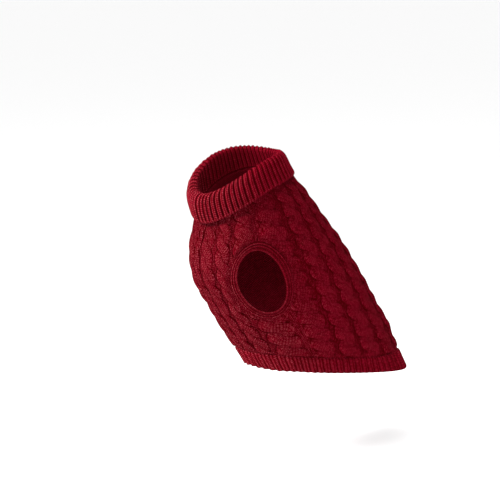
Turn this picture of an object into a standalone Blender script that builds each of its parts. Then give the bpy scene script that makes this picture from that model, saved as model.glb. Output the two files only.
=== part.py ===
"""Sleeveless cable-knit sweater with a folded collar for a small dog, in the hollow shape it has when worn.

The wearer sits facing -Y, with +Z up and +X on its left. The origin is on the inside of the back, at the
withers, where the wearer carries the sweater. Sizes are in millimetres and angles in degrees until a mesh
is made, which is in metres.

The body is a tube of tilted ovals. A place on it is an angle round the tube, 0 on the chest line, 90 on the
left flank and 180 on the back line, and a run, the distance down the knitted rows. Each piece is a wall of
cloth: cables and ribs stand out of its outer side, and its inner side is plain.
"""
import math
from collections import namedtuple

import bmesh
import bpy
import numpy as np
from mathutils import Matrix
from mathutils.geometry import delaunay_2d_cdt

MM = 0.001

# Cloth and seams.
WALL = 2.2
SEAM_GAP = 0.3

# Body: girth about 440 round its rows, 303 long down the back and 193 down the chest, hem included.
Section = namedtuple("Section", "place chest_y chest_z back_y back_z half_width side_lift")
BODY_SECTIONS = (
    Section(0.00, -48.0, -12.0, 43.8, 32.2, 42.0, 8.0),
    Section(0.10, -51.3, -28.0, 63.2, 13.8, 47.0, 7.0),
    Section(0.24, -58.8, -52.0, 91.4, -20.1, 53.0, 5.0),
    Section(0.38, -56.6, -76.0, 117.0, -49.9, 56.0, 3.0),
    Section(0.52, -46.2, -99.0, 139.2, -80.3, 57.0, 1.0),
    Section(0.66, -30.4, -124.0, 160.2, -111.3, 57.0, 0.0),
    Section(0.80, -11.8, -151.0, 181.5, -145.4, 56.5, -1.0),
    Section(0.92, 1.8, -171.5, 203.0, -183.4, 56.0, -2.0),
    Section(1.00, 10.0, -184.5, 219.0, -213.5, 55.5, 1.7),
)
OVAL_FULLNESS = 2.15
WITHERS_PLACE = 0.10

# Place on the back line of the one knitted row that crosses every line down the body squarely.
SQUARE_ROW_PLACE = 0.45
FLAT_MM_PER_DEGREE = 1.25

# Cable columns: the angles of the purl channels between them, from the chest line round to the back line.
Channel = namedtuple("Channel", "neck middle hem")
CHANNELS = (
    Channel(4.0, 7.0, 8.0),
    Channel(25.0, 20.5, 23.0),
    Channel(43.5, 34.0, 42.0),
    Channel(66.0, 66.0, 66.0),
    Channel(96.0, 94.0, 85.0),
    Channel(117.0, 112.0, 103.0),
    Channel(134.0, 129.0, 122.0),
    Channel(149.0, 146.0, 142.0),
    Channel(165.0, 163.0, 161.0),
    Channel(180.0, 180.0, 180.0),
)
SIDE_SEAM = 66.0
RowPitch = namedtuple("RowPitch", "angle pitch")
CABLE_PITCHES = (
    RowPitch(0.0, 20.0),
    RowPitch(45.0, 19.5),
    RowPitch(66.0, 18.4),
    RowPitch(96.0, 18.4),
    RowPitch(125.0, 20.9),
    RowPitch(145.0, 22.0),
    RowPitch(180.0, 22.4),
)
STRAND_SWING = 0.39
STRAND_REACH = 0.46
STRAND_HEIGHT = 2.2
STRAND_CROSSING = 0.9
STRAND_SPREAD = 0.20
ROW_REACH = 0.80
ROWS_PER_PITCH = (-0.2, 0.2, 0.5)
POINTS_ACROSS = 5
CHANNEL_RUNS = (0.0, 90.0, 190.0)
CROSSINGS = (-3, 17)

# How far in from an edge the cables reach their full height. Near the neck they are pressed flat.
PRESSED_SHARE = 0.1
NECK_FADE = (9.0, 14.0)
EDGE_FADE = (1.0, 5.0)
POINT_MARGIN = 2.2
PLAIN_SPACING = 15.0
PLAIN_ROW_SHARE = 0.87
PLAIN_MARGIN_SHARE = 0.45

# Armhole: the oval of the opening's edge, and the trim round it.
ARMHOLE_ANGLE = 57.7
ARMHOLE_RUN = 67.0
ARMHOLE_HALF_WIDTH = 21.8
ARMHOLE_HALF_LENGTH = 37.0
ARMHOLE_TURN = -4.3
ARMHOLE_TRIM = 8.0
ARMHOLE_POINTS = 22
TrimRing = namedtuple("TrimRing", "from_edge height")
TRIM_OUTER = (
    TrimRing(6.6, 1.5),
    TrimRing(5.2, 0.4),
    TrimRing(3.8, 1.7),
    TrimRing(2.4, 0.5),
    TrimRing(1.0, 1.6),
    TrimRing(0.0, 0.0),
)
TRIM_EDGE_INSIDE = TrimRing(0.2, -1.8)

# Soft folds of the worn cloth: each is a ridge, or a trough if its rise is negative, between two places.
Fold = namedtuple("Fold", "angle_a run_a angle_b run_b width rise")
FOLDS = (
    Fold(70.0, 160.0, 118.0, 196.0, 11.0, 2.0),
    Fold(30.0, 138.0, 82.0, 176.0, 8.0, -1.8),
    Fold(84.0, 84.0, 92.0, 140.0, 9.0, -1.4),
    Fold(4.0, 62.0, 34.0, 74.0, 8.0, -1.2),
    Fold(-66.0, 158.0, -124.0, 200.0, 12.0, 1.8),
    Fold(-26.0, 136.0, -86.0, 178.0, 9.0, -1.7),
    Fold(-82.0, 88.0, -96.0, 136.0, 9.0, -1.3),
    Fold(-6.0, 76.0, -36.0, 86.0, 8.0, -1.2),
    Fold(150.0, 228.0, 178.0, 236.0, 12.0, 1.5),
    Fold(-142.0, 40.0, -176.0, 52.0, 12.0, -1.2),
)

# Hem rib: it droops to a corner behind, by a further length that comes in between two angles, and its
# ribs lean on the flanks.
HEM_LENGTH = 23.0
HEM_DROOP = 5.0
HEM_DROOP_ANGLES = (110.0, 160.0)
HEM_LEAN = 5.0
HEM_RIBS_CHEST = 20
HEM_RIBS_BACK = 40
RIB_RISE = 1.6
HemRing = namedtuple("HemRing", "from_seam height rib_rise")
HEM_OUTER = (
    HemRing(3.0, 0.2, RIB_RISE),
    HemRing(21.4, 0.3, RIB_RISE),
    HemRing(23.0, -0.3, 0.9),
)
HEM_EDGE_INSIDE = -1.9

# Collar: the ovals of its outer side, from the lower edge of the fall up to the crest of the fold.
COLLAR_RIBS = 60
FALL_WALL = 2.1
FALL_RIB_SINK = 0.6
CREST_RIB_SHARE = 0.5
RollRing = namedtuple("RollRing", "inset lower")
ROLL_INSIDE = RollRing(3.4, 1.4)
STAND_TOP = RollRing(4.8, 5.0)
STAND_BACK_TOP = RollRing(2.6, 7.0)
FALL_INSIDE_TOP = RollRing(2.8, 1.0)
FALL_SECTIONS = (
    Section(0.0, -55.5, -20.0, 55.6, 27.0, 49.5, 13.0),
    Section(0.4, -59.5, -8.0, 48.8, 36.0, 50.0, 13.0),
    Section(0.75, -61.0, 2.0, 44.2, 44.3, 48.8, 13.0),
    Section(0.92, -59.5, 8.5, 40.6, 49.6, 47.3, 13.0),
    Section(1.0, -56.0, 12.0, 37.2, 52.6, 44.3, 13.0),
)


def smooth_columns(rows, places):
    """The columns of a section table, after its place, read at any places on smooth curves."""
    table = np.array(rows, dtype=float)
    knots, values = table[:, 0], table[:, 1:]
    slopes = np.gradient(values, knots, axis=0)
    places = np.clip(np.asarray(places, dtype=float), knots[0], knots[-1])
    left = np.clip(np.searchsorted(knots, places, side="right") - 1, 0, len(knots) - 2)
    span = (knots[left + 1] - knots[left])[..., None]
    t = (places - knots[left])[..., None] / span
    start, end = values[left], values[left + 1]
    start_slope, end_slope = slopes[left] * span, slopes[left + 1] * span
    return ((2 * t**3 - 3 * t**2 + 1) * start + (t**3 - 2 * t**2 + t) * start_slope
            + (3 * t**2 - 2 * t**3) * end + (t**3 - t**2) * end_slope)


def tube_point(rows, angle, place):
    """Points on a tube of tilted ovals."""
    chest_y, chest_z, back_y, back_z, half_width, side_lift = np.moveaxis(
        smooth_columns(rows, place), -1, 0)
    sine = np.sin(np.radians(angle))
    cosine = np.cos(np.radians(angle))
    bulge = (np.abs(sine)**OVAL_FULLNESS + np.abs(cosine)**OVAL_FULLNESS)**(-1.0 / OVAL_FULLNESS)
    towards_chest = cosine * bulge
    x = half_width * sine * bulge
    y = (chest_y + back_y) / 2 + (chest_y - back_y) / 2 * towards_chest
    z = (chest_z + back_z) / 2 + (chest_z - back_z) / 2 * towards_chest + side_lift * sine**2
    return np.stack([x, y, z], axis=-1)


# Lines down the body at each whole degree, and how far along the rows each point on them is.
ANGLE_LINES = np.linspace(-180.0, 180.0, 361)
PLACE_STEPS = np.linspace(0.0, 1.0, 201)


def square_row():
    """Places at which the square row crosses the angle lines, followed from the back line to the chest."""
    places = [SQUARE_ROW_PLACE]
    for angle in ANGLE_LINES[:0:-1][:180]:
        place = places[-1]
        round_way = tube_point(BODY_SECTIONS, angle - 1.0, place) - tube_point(BODY_SECTIONS, angle, place)
        down_way = (tube_point(BODY_SECTIONS, angle - 0.5, place + 0.002)
                    - tube_point(BODY_SECTIONS, angle - 0.5, place - 0.002)) / 0.004
        places.append(place - round_way @ down_way / (down_way @ down_way))
    return np.array(places + places[-2::-1])


def measure_runs():
    """Run at each angle line and place step; the rows run parallel to the square row."""
    points = tube_point(BODY_SECTIONS, ANGLE_LINES[:, None], PLACE_STEPS[None, :])
    steps = np.linalg.norm(np.diff(points, axis=1), axis=2)
    lengths = np.concatenate([np.zeros((len(ANGLE_LINES), 1)), np.cumsum(steps, axis=1)], axis=1)
    square = np.array([np.interp(place, PLACE_STEPS, line) for place, line in zip(square_row(), lengths)])
    return lengths - square[:, None] + square[0]


RUNS = measure_runs()


def neck_run(angle):
    """Run of the neck seam."""
    return np.interp(wrapped(angle), ANGLE_LINES, RUNS[:, 0])


def hem_run(angle):
    """Run of the hem's lower edge."""
    return np.interp(wrapped(angle), ANGLE_LINES, RUNS[:, -1])


def hem_seam_run(angle):
    """Run of the seam between the panels and the hem rib."""
    droop = HEM_DROOP * smooth_step(np.abs(wrapped(angle)), HEM_DROOP_ANGLES)
    return hem_run(angle) - HEM_LENGTH - droop


def hem_rib_angle(angle, share):
    """Angle of a hem rib at a share of the way down it: on the flanks its lower end leans to the chest."""
    return angle - HEM_LEAN * share * np.sin(np.radians(angle)) * np.abs(np.sin(np.radians(angle)))


def wrapped(angle):
    """The same angle, between -180 and 180."""
    return (np.asarray(angle, dtype=float) + 180.0) % 360.0 - 180.0


def place_at(angle, run):
    """Place on the body at an angle and a run."""
    angle, run = np.broadcast_arrays(wrapped(angle), np.asarray(run, dtype=float))
    line = np.clip(np.floor(angle - ANGLE_LINES[0]).astype(int), 0, len(ANGLE_LINES) - 2)
    part = angle - ANGLE_LINES[line]
    places = np.empty(angle.shape)
    for index in np.ndindex(angle.shape):
        before = np.interp(run[index], RUNS[line[index]], PLACE_STEPS)
        after = np.interp(run[index], RUNS[line[index] + 1], PLACE_STEPS)
        places[index] = before + (after - before) * part[index]
    return places


def fold_rise(angle, run):
    """How far the folds lift the cloth at a place."""
    x, y = wrapped(angle) * FLAT_MM_PER_DEGREE, run
    rise = np.zeros(np.shape(x))
    for fold in FOLDS:
        start_x, end_x = fold.angle_a * FLAT_MM_PER_DEGREE, fold.angle_b * FLAT_MM_PER_DEGREE
        way_x, way_y = end_x - start_x, fold.run_b - fold.run_a
        t = ((x - start_x) * way_x + (y - fold.run_a) * way_y) / (way_x**2 + way_y**2)
        t = np.clip(t, 0.0, 1.0)
        gap = np.hypot(x - start_x - t * way_x, y - fold.run_a - t * way_y)
        rise = rise + fold.rise * np.exp(-(gap / fold.width)**2)
    return rise


def body_point(angle, run, height=0.0):
    """Points at a height above the body's outer side."""
    angle, run = np.broadcast_arrays(np.asarray(angle, dtype=float), np.asarray(run, dtype=float))
    place = place_at(angle, run)
    turn, step = 0.5, 0.004
    low = np.clip(place - step, 0.0, 1.0)
    high = np.clip(place + step, 0.0, 1.0)
    base = tube_point(BODY_SECTIONS, angle, place)
    round_way = (tube_point(BODY_SECTIONS, angle + turn, place)
                 - tube_point(BODY_SECTIONS, angle - turn, place))
    down_way = tube_point(BODY_SECTIONS, angle, high) - tube_point(BODY_SECTIONS, angle, low)
    normal = np.cross(down_way, round_way)
    normal /= np.linalg.norm(normal, axis=-1, keepdims=True)
    return base + normal * (height + fold_rise(angle, run))[..., None]


def smooth_step(value, limits):
    t = np.clip((value - limits[0]) / (limits[1] - limits[0]), 0.0, 1.0)
    return t * t * (3 - 2 * t)


def cable_pitch(angle):
    """Run between two crossings of a cable; the knit is drawn out a little over the back."""
    table = np.array(CABLE_PITCHES)
    return np.interp(np.abs(wrapped(angle)), table[:, 0], table[:, 1])


def cable_height(across, crossings):
    """Two strands twisted round each other; across goes from -1 to 1 over a column."""
    turn = np.pi * crossings
    swing = STRAND_SWING * np.cos(turn)
    over = np.sin(turn)
    reach = STRAND_REACH * (1 + STRAND_SPREAD * np.abs(over))

    def strand(centre, rise):
        return rise * np.sqrt(np.clip(1 - ((across - centre) / reach)**2, 0.0, 1.0))

    return np.maximum(strand(-swing, STRAND_HEIGHT + STRAND_CROSSING * over),
                      strand(swing, STRAND_HEIGHT - STRAND_CROSSING * over))


def channel_angle(channel, run):
    """Angle of a channel at a run; between its table's three angles it goes in two straight stretches."""
    return np.interp(run, CHANNEL_RUNS, channel)


def columns():
    """Channels on both sides of each column, once round the body."""
    left = [np.array(channel) for channel in CHANNELS]
    right = [-channel for channel in left[::-1]]
    edges = right + left
    return list(zip(edges[:-1], edges[1:]))


def armhole_loop(offset, side, start, end, points):
    """Places on the armhole's edge, moved out by an offset, between two turns round it in degrees."""
    turn = np.radians(np.linspace(start, end, points))
    lean = math.radians(ARMHOLE_TURN)
    wide, long = ARMHOLE_HALF_WIDTH + offset, ARMHOLE_HALF_LENGTH + offset
    flat_x = wide * np.sin(turn) * math.cos(lean) + long * np.cos(turn) * math.sin(lean)
    flat_y = long * np.cos(turn) * math.cos(lean) - wide * np.sin(turn) * math.sin(lean)
    angles = ARMHOLE_ANGLE + flat_x / FLAT_MM_PER_DEGREE
    return side * angles, ARMHOLE_RUN - flat_y


def armhole_turns_at_seam(offset):
    """Turns round the armhole at which its edge crosses the side seam, at the top and at the bottom."""
    lean = math.radians(ARMHOLE_TURN)
    along_sine = (ARMHOLE_HALF_WIDTH + offset) * math.cos(lean)
    along_cosine = (ARMHOLE_HALF_LENGTH + offset) * math.sin(lean)
    distance = (SIDE_SEAM - ARMHOLE_ANGLE) * FLAT_MM_PER_DEGREE
    middle = math.atan2(along_sine, along_cosine)
    spread = math.acos(distance / math.hypot(along_sine, along_cosine))
    return math.degrees(middle - spread), math.degrees(middle + spread)


def seam_points(angle, start, end):
    """Places down a side seam, without its two ends."""
    count = max(2, round(abs(end - start) / (cable_pitch(SIDE_SEAM) / len(ROWS_PER_PITCH))) + 1)
    runs = np.linspace(start, end, count)[1:-1]
    return [(angle, run) for run in runs]


def rib_angles(start, end, ribs):
    """Angles of the rib edges along the hem seam, an equal distance apart."""
    angles = np.linspace(start, end, 721)
    points = body_point(angles, hem_seam_run(angles))
    lengths = np.concatenate([[0.0], np.cumsum(np.linalg.norm(np.diff(points, axis=0), axis=1))])
    return np.interp(np.linspace(0.0, lengths[-1], ribs + 1), lengths, angles)


def panel_outline(is_back):
    """Edge of a panel as places, in order round it."""
    half_gap = SEAM_GAP / 2
    gap_angle = half_gap / FLAT_MM_PER_DEGREE
    if is_back:
        first, last, ribs = SIDE_SEAM + gap_angle, 360.0 - SIDE_SEAM - gap_angle, HEM_RIBS_BACK
        neck_angles = np.arange(70.0, 291.0, 5.0)
    else:
        first, last, ribs = -SIDE_SEAM + gap_angle, SIDE_SEAM - gap_angle, HEM_RIBS_CHEST
        neck_angles = np.arange(-60.0, 61.0, 5.0)
    neck_angles = np.concatenate([[first], neck_angles, [last]])
    hem_angles = rib_angles(first, last, ribs)[::-1]
    neck = [(a, neck_run(a) + half_gap) for a in neck_angles]
    hem = [(a, float(hem_seam_run(a)) - half_gap) for a in hem_angles]
    top, bottom = armhole_turns_at_seam(ARMHOLE_TRIM + half_gap)

    def armhole_side(side):
        if is_back:
            turns = (top, bottom)
        else:
            turns = (top + 360.0, bottom)
        angles, runs = armhole_loop(ARMHOLE_TRIM + half_gap, side, *turns, ARMHOLE_POINTS)
        shift = side * gap_angle * (1 if is_back else -1)
        angles = np.array(angles)
        angles[[0, -1]] = side * SIDE_SEAM + shift
        if is_back and side < 0:
            angles = angles + 360.0
        return list(zip(angles, runs))

    right_end = armhole_side(-1 if is_back else 1)
    left_end = armhole_side(1 if is_back else -1)[::-1]
    outline = list(neck)
    outline += seam_points(last, neck[-1][1], right_end[0][1]) + right_end
    outline += seam_points(last, right_end[-1][1], hem[0][1]) + hem
    outline += seam_points(first, hem[-1][1], left_end[0][1]) + left_end
    outline += seam_points(first, left_end[-1][1], neck[0][1])
    return np.array(outline)


def to_flat(places):
    """Places laid flat, in millimetres, with the neck at the top and seen from outside."""
    places = np.asarray(places, dtype=float)
    return np.stack([places[..., 0] * FLAT_MM_PER_DEGREE, -places[..., 1]], axis=-1)


def distance_to_outline(points, outline):
    """Distance of each flat point from a closed outline, negative outside it."""
    start = outline
    end = np.roll(outline, -1, axis=0)
    way = end - start
    offset = points[:, None, :] - start[None, :, :]
    t = np.clip((offset * way).sum(-1) / (way**2).sum(-1), 0.0, 1.0)
    gaps = np.linalg.norm(offset - t[..., None] * way, axis=-1).min(axis=1)
    crosses = (start[None, :, 1] > points[:, None, 1]) != (end[None, :, 1] > points[:, None, 1])
    with np.errstate(divide="ignore", invalid="ignore"):
        meets = start[:, 0] + (points[:, None, 1] - start[:, 1]) * way[:, 0] / way[:, 1]
    inside = (crosses & (points[:, None, 0] < meets)).sum(axis=1) % 2 == 1
    return np.where(inside, gaps, -gaps)


def cable_lines(first, last):
    """Lines of places along the cables' valleys and shoulders and along the channels between them."""
    lines = []
    low, high = CROSSINGS
    tau = np.linspace(0.0, 1.0, POINTS_ACROSS)
    for left, right in columns():
        if (left + right).mean() / 2 < first:
            left, right = left + 360.0, right + 360.0
        if (left + right).mean() / 2 > last:
            continue
        pitch = cable_pitch((left + right).mean() / 2)
        for stroke in range(low, high):
            for shift in ROWS_PER_PITCH:
                across = -ROW_REACH * np.cos(np.pi * tau)
                crossings = stroke + tau + shift
                start, end = channel_angle(left, pitch * crossings), channel_angle(right, pitch * crossings)
                angles = (start + end) / 2 + (end - start) / 2 * across
                lines.append((angles, pitch * crossings, cable_height(across, crossings)))
        if right.max() < last - 1.0:
            run = cable_pitch(right[1]) * np.arange(low, high, 1.0 / len(ROWS_PER_PITCH))
            lines.append((channel_angle(right, run), run, np.zeros(len(run))))
    return lines


def fill_outline(outline, inner_points, inner_edges):
    """Triangles over an outline and the points inside it, by constrained Delaunay triangulation."""
    points = [tuple(p) for p in outline] + [tuple(p) for p in inner_points]
    count = len(outline)
    edges = [(i, (i + 1) % count) for i in range(count)]
    edges += [(a + count, b + count) for a, b in inner_edges]
    verts, _, faces, origins, _, _ = delaunay_2d_cdt(points, edges, [], 1, 1e-5)
    if len(verts) != len(points):
        raise ValueError("lines of the knit cross each other")
    return [[origins[v][0] for v in face] for face in faces]


def cable_points(outline, first, last):
    """Points inside a panel's outline that carry its cables: places, heights and the edges between them."""
    places, heights, edges = [], [], []
    flat_outline = to_flat(outline)
    for angles, runs, rises in cable_lines(first, last):
        line = np.stack([angles, runs], axis=1)
        flat = to_flat(line)
        gaps = distance_to_outline(flat, flat_outline)
        middles = distance_to_outline((flat[1:] + flat[:-1]) / 2, flat_outline)
        height = rises * smooth_step(gaps, EDGE_FADE)
        free = smooth_step(runs - neck_run(angles), NECK_FADE)
        height *= PRESSED_SHARE + (1 - PRESSED_SHARE) * free
        kept = gaps > POINT_MARGIN
        numbers = np.cumsum(kept) - 1 + len(places)
        for i in np.flatnonzero(kept):
            places.append(line[i])
            heights.append(height[i])
            if i + 1 < len(kept) and kept[i + 1] and middles[i] > POINT_MARGIN / 2:
                edges.append((int(numbers[i]), int(numbers[i + 1])))
    return np.array(places), np.array(heights), edges


def plain_points(outline):
    """Widely spaced points for the inner side of a panel."""
    flat_outline = to_flat(outline)
    low, high = flat_outline.min(axis=0), flat_outline.max(axis=0)
    rows = []
    row_ys = np.arange(low[1] + PLAIN_SPACING / 2, high[1], PLAIN_SPACING * PLAIN_ROW_SHARE)
    for number, y in enumerate(row_ys):
        xs = np.arange(low[0] + (number % 2 + 1) * PLAIN_SPACING / 2, high[0], PLAIN_SPACING)
        rows += [(x, y) for x in xs]
    flat = np.array(rows)
    flat = flat[distance_to_outline(flat, flat_outline) > PLAIN_SPACING * PLAIN_MARGIN_SHARE]
    return np.stack([flat[:, 0] / FLAT_MM_PER_DEGREE, -flat[:, 1]], axis=1)


def make_object(name, points, faces, colour):
    mesh = bpy.data.meshes.new(name)
    mesh.from_pydata([tuple(p * MM) for p in points], [], faces)
    mesh.update()
    build = bmesh.new()
    build.from_mesh(mesh)
    bmesh.ops.recalc_face_normals(build, faces=build.faces)
    build.to_mesh(mesh)
    build.free()
    mesh.shade_smooth()
    material = bpy.data.materials.new(name)
    material.use_nodes = True
    shader = material.node_tree.nodes["Principled BSDF"]
    shader.inputs["Base Color"].default_value = (*colour, 1.0)
    shader.inputs["Roughness"].default_value = 0.9
    shader.inputs["Metallic"].default_value = 0.0
    mesh.materials.append(material)
    thing = bpy.data.objects.new(name, mesh)
    bpy.context.scene.collection.objects.link(thing)
    return thing


def make_panel(name, is_back, colour):
    """A cable-knit panel: cabled outer side, plain inner side and the edges between them."""
    outline = panel_outline(is_back)
    first, last = outline[:, 0].min(), outline[:, 0].max()
    places, heights, edges = cable_points(outline, first - 1.0, last + 1.0)
    plain = plain_points(outline)
    count = len(outline)
    outer = body_point(*np.concatenate([outline, places]).T, np.concatenate([np.zeros(count), heights]))
    inner = body_point(*np.concatenate([outline, plain]).T, -WALL)
    outer_faces = fill_outline(to_flat(outline), to_flat(places), edges)
    inner_faces = fill_outline(to_flat(outline), to_flat(plain), [])
    start = len(outer)
    faces = list(outer_faces)
    faces += [[start + v for v in reversed(face)] for face in inner_faces]
    for i in range(count):
        j = (i + 1) % count
        faces.append([i, start + i, start + j])
        faces.append([i, start + j, j])
    return make_object(name, np.concatenate([outer, inner]), faces, colour)


def join_rings(start_a, count_a, start_b, count_b):
    """Triangles between two rings, one of which may have a whole number of times the points of the other."""
    if count_a < count_b:
        return [face[::-1] for face in join_rings(start_b, count_b, start_a, count_a)]
    times = count_a // count_b
    faces = []
    for j in range(count_b):
        b, b_next = start_b + j, start_b + (j + 1) % count_b
        middle = times // 2
        for k in range(times):
            a = start_a + j * times + k
            a_next = start_a + (j * times + k + 1) % count_a
            faces.append([a, a_next, b if k < max(middle, 1) else b_next])
            if k == max(middle, 1) - 1:
                faces.append([a_next, b_next, b])
    return faces


def make_rings(name, rings, colour):
    """A closed band: each ring is joined to the next and the last to the first."""
    faces, start = [], 0
    starts = []
    for ring in rings:
        starts.append(start)
        start += len(ring)
    for i, ring in enumerate(rings):
        j = (i + 1) % len(rings)
        faces += join_rings(starts[i], len(ring), starts[j], len(rings[j]))
    return make_object(name, np.concatenate(rings), faces, colour)


def between(values):
    """Closed ring of angles with a further one half-way between each two."""
    following = np.append(values[1:], values[0] + 360.0)
    return np.stack([values, (values + following) / 2], axis=1).ravel()


def make_hem(colour):
    """Ribbed band; its rib edges continue those of the panels' lower edges."""
    chest = rib_angles(-SIDE_SEAM, SIDE_SEAM, HEM_RIBS_CHEST)
    back = rib_angles(SIDE_SEAM, 360.0 - SIDE_SEAM, HEM_RIBS_BACK)
    coarse = np.concatenate([chest[:-1], back[:-1]])
    fine = between(coarse)
    ridges = np.tile([0.0, 1.0], len(coarse))
    top = hem_seam_run(coarse) + SEAM_GAP / 2
    rings = [body_point(coarse, top, 0.0)]
    for row in HEM_OUTER:
        share = row.from_seam / HEM_LENGTH
        leaned = hem_rib_angle(fine, share)
        run = hem_seam_run(leaned) * (1 - share) + hem_run(leaned) * share
        rings.append(body_point(leaned, run, row.height + row.rib_rise * ridges))
    leaned = hem_rib_angle(coarse, 1.0)
    rings.append(body_point(leaned, hem_run(leaned), HEM_EDGE_INSIDE))
    rings.append(body_point(coarse, top, -WALL))
    return make_rings("hem_band", rings, colour)


def oval(row, inset, lower, angles, rise=None):
    """Ring of a section table's row, shrunk by an inset and moved down, with ribs that rise out of it."""
    chest = np.array([row.chest_y, row.chest_z])
    back = np.array([row.back_y, row.back_z])
    along = (back - chest) / np.linalg.norm(back - chest)
    up = np.array([-along[1], along[0]])
    rise = np.zeros(len(angles)) if rise is None else rise
    points = []
    for angle, out in zip(angles, rise):
        low = chest + along * (inset - out) - up * lower
        high = back - along * (inset - out) - up * lower
        changed = Section(0.0, *low, *high, row.half_width - inset + out, row.side_lift)
        points.append(tube_point([changed, changed._replace(place=1.0)], angle, 0.0))
    return np.array(points)


def make_collar(colour):
    """Stand, fold and fall of the collar, one folded cloth with a slot between its two layers."""
    coarse = np.arange(0.0, 360.0, 360.0 / COLLAR_RIBS)
    fine = between(coarse)
    ridges = np.tile([0.0, 1.0], len(coarse))
    ribs = RIB_RISE * ridges - FALL_RIB_SINK
    edge, lower, upper, shoulder, crest = FALL_SECTIONS
    seam = BODY_SECTIONS[0]
    rings = [oval(row, 0.0, 0.0, fine, ribs) for row in (edge, lower, upper, shoulder)]
    rings += [
        oval(crest, 0.0, 0.0, fine, ribs * CREST_RIB_SHARE),
        oval(crest, *ROLL_INSIDE, coarse),
        oval(crest, *STAND_TOP, coarse),
        oval(seam, WALL, -SEAM_GAP / 2, coarse),
        oval(seam, 0.0, -SEAM_GAP / 2, coarse),
        oval(crest, *STAND_BACK_TOP, coarse),
        oval(upper, *FALL_INSIDE_TOP, coarse),
        oval(lower, FALL_WALL, 0.0, coarse),
        oval(edge, FALL_WALL, 0.0, coarse),
    ]
    return make_rings("collar", rings, colour)


def make_armhole_band(name, side, colour):
    """Linked-on trim round an armhole, with three ridges that follow its edge."""
    half_gap = SEAM_GAP / 2
    seam_offset = ARMHOLE_TRIM - half_gap
    top, bottom = armhole_turns_at_seam(ARMHOLE_TRIM + half_gap)
    rear = np.linspace(top, bottom, ARMHOLE_POINTS)
    front = np.linspace(bottom, top + 360.0, ARMHOLE_POINTS)
    turns = np.concatenate([rear[:-1], front[:-1]])

    def ring(offset, height):
        angles, runs = np.array([armhole_loop(offset, side, t, t, 1) for t in turns])[:, :, 0].T
        return body_point(angles, runs, height)

    rings = [ring(seam_offset, 0.0)]
    rings += [ring(*row) for row in TRIM_OUTER]
    rings += [ring(*TRIM_EDGE_INSIDE), ring(seam_offset, -WALL)]
    return make_rings(name, rings, colour)


def clear_scene():
    for thing in list(bpy.data.objects):
        bpy.data.objects.remove(thing, do_unlink=True)


def main():
    clear_scene()
    red = (0.20, 0.008, 0.022)
    things = [
        make_panel("back_panel", True, red),
        make_panel("chest_panel", False, red),
        make_collar(red),
        make_hem(red),
        make_armhole_band("armhole_band_left", 1, red),
        make_armhole_band("armhole_band_right", -1, red),
    ]
    origin = body_point(180.0, np.interp(WITHERS_PLACE, PLACE_STEPS, RUNS[-1]), -WALL)
    for thing in things:
        thing.data.transform(Matrix.Translation(-origin * MM))


main()
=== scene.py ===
"""Looks of a cable-knit sweater for a small dog, in the hollow shape it has when the dog wears it.

Every knitted piece is made again on its solid's own form, with finer cables and ribs, and with coordinates
that follow the strands, from which its material makes the stitches. Sizes are in millimetres and angles in
degrees, as in the part's source, until a mesh is made in metres. A place on the body is an angle round it,
0 on the chest line, 90 on the left flank and 180 on the back line, and a run down the knitted rows.
"""

import math
from collections import namedtuple

import bpy
import numpy as np
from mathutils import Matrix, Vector
from mathutils.geometry import delaunay_2d_cdt


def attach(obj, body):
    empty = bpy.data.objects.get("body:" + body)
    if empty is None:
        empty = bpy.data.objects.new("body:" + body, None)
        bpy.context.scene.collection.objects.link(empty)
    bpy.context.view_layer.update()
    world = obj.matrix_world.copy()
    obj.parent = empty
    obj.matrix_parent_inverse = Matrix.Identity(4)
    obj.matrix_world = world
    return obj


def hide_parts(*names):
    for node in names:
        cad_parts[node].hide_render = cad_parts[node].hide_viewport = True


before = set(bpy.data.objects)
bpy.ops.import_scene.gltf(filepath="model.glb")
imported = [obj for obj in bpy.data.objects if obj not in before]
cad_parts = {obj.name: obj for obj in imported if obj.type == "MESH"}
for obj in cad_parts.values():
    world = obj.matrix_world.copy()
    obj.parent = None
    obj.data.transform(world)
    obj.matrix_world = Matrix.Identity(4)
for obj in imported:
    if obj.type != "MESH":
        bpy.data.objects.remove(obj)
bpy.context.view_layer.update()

MM = 0.001

# --- Cloth, seams and body, as in the part's source ---

WALL = 2.2
SEAM_GAP = 0.3

# Tilted ovals down the body, each with the line of its chest and its back.
Section = namedtuple("Section", "place chest_y chest_z back_y back_z half_width side_lift")
BODY_SECTIONS = (
    Section(0.00, -48.0, -12.0, 43.8, 32.2, 42.0, 8.0),
    Section(0.10, -51.3, -28.0, 63.2, 13.8, 47.0, 7.0),
    Section(0.24, -58.8, -52.0, 91.4, -20.1, 53.0, 5.0),
    Section(0.38, -56.6, -76.0, 117.0, -49.9, 56.0, 3.0),
    Section(0.52, -46.2, -99.0, 139.2, -80.3, 57.0, 1.0),
    Section(0.66, -30.4, -124.0, 160.2, -111.3, 57.0, 0.0),
    Section(0.80, -11.8, -151.0, 181.5, -145.4, 56.5, -1.0),
    Section(0.92, 1.8, -171.5, 203.0, -183.4, 56.0, -2.0),
    Section(1.00, 10.0, -184.5, 219.0, -213.5, 55.5, 1.7),
)
OVAL_FULLNESS = 2.15
WITHERS_PLACE = 0.10
SQUARE_ROW_PLACE = 0.45
FLAT_MM_PER_DEGREE = 1.25

# Channels between the columns of cable, by their angles at three runs.
Channel = namedtuple("Channel", "neck middle hem")
CHANNELS = (
    Channel(4.0, 7.0, 8.0),
    Channel(25.0, 20.5, 23.0),
    Channel(43.5, 34.0, 42.0),
    Channel(66.0, 66.0, 66.0),
    Channel(96.0, 94.0, 85.0),
    Channel(117.0, 112.0, 103.0),
    Channel(134.0, 129.0, 122.0),
    Channel(149.0, 146.0, 142.0),
    Channel(165.0, 163.0, 161.0),
    Channel(180.0, 180.0, 180.0),
)
CHANNEL_RUNS = (0.0, 90.0, 190.0)
SIDE_SEAM = 66.0

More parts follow.
